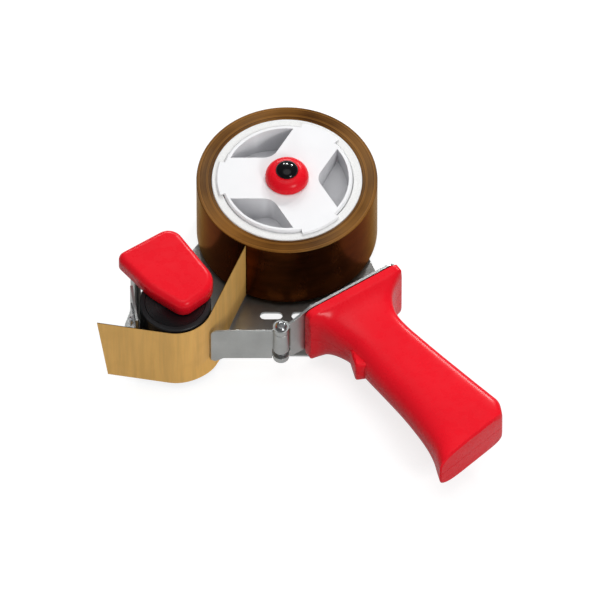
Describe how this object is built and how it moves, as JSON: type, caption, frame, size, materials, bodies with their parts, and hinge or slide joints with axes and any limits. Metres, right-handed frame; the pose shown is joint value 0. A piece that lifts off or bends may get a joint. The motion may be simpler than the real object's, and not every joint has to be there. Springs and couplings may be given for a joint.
{
  "type": "packing tape dispenser",
  "caption": "Hand-held tape gun: steel side plate, pistol grip, core hub with friction brake, rubber front roller under a cover, hinged check plate and serrated blade.",
  "frame": {"origin": "on the axis of the tape roll, at the underside of the steel side plate", "axes": "+Z along the roll's axis towards the open side, -Y towards the pistol grip, -X towards the front roller and the blade"},
  "size_m": [0.1983, 0.2598, 0.0654],
  "materials": {
    "plated_steel": "satin",
    "bright_steel": "bright",
    "red_plastic": "gloss moulded",
    "white_plastic": "satin moulded",
    "black_plastic": "polished",
    "black_rubber": "satin",
    "core_card": "matte",
    "brown_tape": "gloss film",
    "brass": "turned",
    "fibre_washer": "matte fibre",
    "nylon": "matte"
  },
  "bodies": {
    "frame": {"side_plate": "plated_steel", "handle_half_open_side": "red_plastic", "handle_half_plate_side": "red_plastic", "handle_screw_1": "bright_steel", "handle_screw_2": "bright_steel", "handle_screw_3": "bright_steel", "flange_screw_1": "bright_steel", "flange_screw_2": "bright_steel", "flange_screw_3": "bright_steel", "flange_screw_4": "bright_steel", "blade": "bright_steel", "blade_screw_1": "bright_steel", "blade_screw_2": "bright_steel", "hub_axle": "bright_steel", "hub_friction_washer": "fibre_washer", "roller_shaft": "bright_steel", "shaft_clip": "bright_steel", "cover_post": "plated_steel", "end_cover": "red_plastic", "check_pin": "bright_steel", "check_spring": "bright_steel", "tape_tail": "brown_tape"},
    "roll_hub": {"core_hub": "white_plastic", "hub_bushing": "nylon", "tape_core": "core_card", "tape_roll": "brown_tape"},
    "front_roller": {"roller_core": "black_plastic", "roller_sleeve": "black_rubber"},
    "check_hinge": {"check_plate": "plated_steel"},
    "brake_washer": {"pressure_washer": "bright_steel", "tension_spring": "bright_steel"},
    "brake_knob": {"tension_knob": "red_plastic", "knob_insert": "brass", "knob_cap": "black_plastic"}
  },
  "joints": [
    {"name": "hub_spin", "type": "hinge", "parent": "frame", "child": "roll_hub", "pos_m": [0, 0, 0.0033], "axis": [0, 0, 1], "continuous": true},
    {"name": "roller_spin", "type": "hinge", "parent": "frame", "child": "front_roller", "pos_m": [-0.1014, -0.038, 0.0035], "axis": [0, 0, 1], "continuous": true},
    {"name": "check_swing", "type": "hinge", "parent": "frame", "child": "check_hinge", "pos_m": [-0.057, -0.08, 0.015], "axis": [0, 0, 1], "range_deg": [0, 40], "stiffness_Nm_per_rad": 0.01, "springref_deg": -28.65},
    {"name": "brake_slide", "type": "slide", "parent": "frame", "child": "brake_washer", "axis": [0, 0, 1], "range_m": [0, 0.0025], "deforming": ["tension_spring"]},
    {"name": "knob_turn", "type": "hinge", "parent": "brake_washer", "child": "brake_knob", "pos_m": [0, 0, 0.0549], "axis": [0, 0, 1], "range_deg": [0, 720]}
  ],
  "couplings": [
    {"joint": "roller_spin", "follows": "hub_spin", "ratio": -2.5366},
    {"joint": "knob_turn", "follows": "brake_slide", "rad_per_m": 5026}
  ]
}
